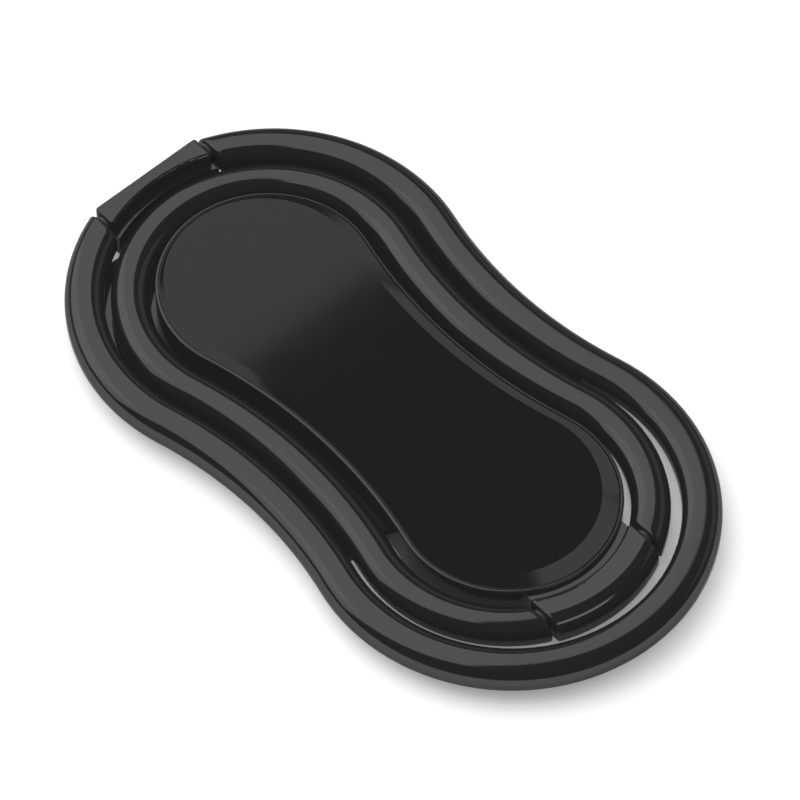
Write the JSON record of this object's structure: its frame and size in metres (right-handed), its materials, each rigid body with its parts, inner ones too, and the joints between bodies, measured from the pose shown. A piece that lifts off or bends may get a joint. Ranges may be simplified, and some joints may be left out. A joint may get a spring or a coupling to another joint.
{
  "type": "phone ring holder",
  "caption": "Slim figure-eight phone holder: nested rings lie flat round an adhesive base plate and swing up as finger loop, hook or stand.",
  "frame": {"origin": "on the adhesive face, at the middle of the outer ring's lobe centres", "axes": "+Y along the holder towards the outer ring's hinge, +Z out of the adhesive face towards the rings"},
  "size_m": [0.036, 0.065, 0.0041],
  "materials": {
    "base_metal": "gloss black",
    "ring_metal": "gloss black",
    "inlay": "satin black",
    "adhesive": "tacky, matt",
    "pin_steel": "ground",
    "washer": "matt black"
  },
  "bodies": {
    "base": {"base_plate": "base_metal", "face_inlay": "inlay", "inlay_film": "adhesive", "adhesive_pad": "adhesive", "outer_pin_left": "pin_steel", "outer_pin_right": "pin_steel", "inner_pin_left": "pin_steel", "inner_pin_right": "pin_steel", "outer_washer_left": "washer", "outer_washer_right": "washer", "inner_washer_left": "washer", "inner_washer_right": "washer"},
    "outer_ring": {"outer_ring": "ring_metal"},
    "inner_ring": {"inner_ring": "ring_metal"}
  },
  "joints": [
    {"name": "outer_hinge", "type": "hinge", "parent": "base", "child": "outer_ring", "pos_m": [0, 0.03049, 0.00285], "axis": [-1, 0, 0], "range_deg": [0, 180]},
    {"name": "inner_hinge", "type": "hinge", "parent": "base", "child": "inner_ring", "pos_m": [0, -0.02522, 0.00285], "axis": [1, 0, 0], "range_deg": [0, 90]}
  ]
}
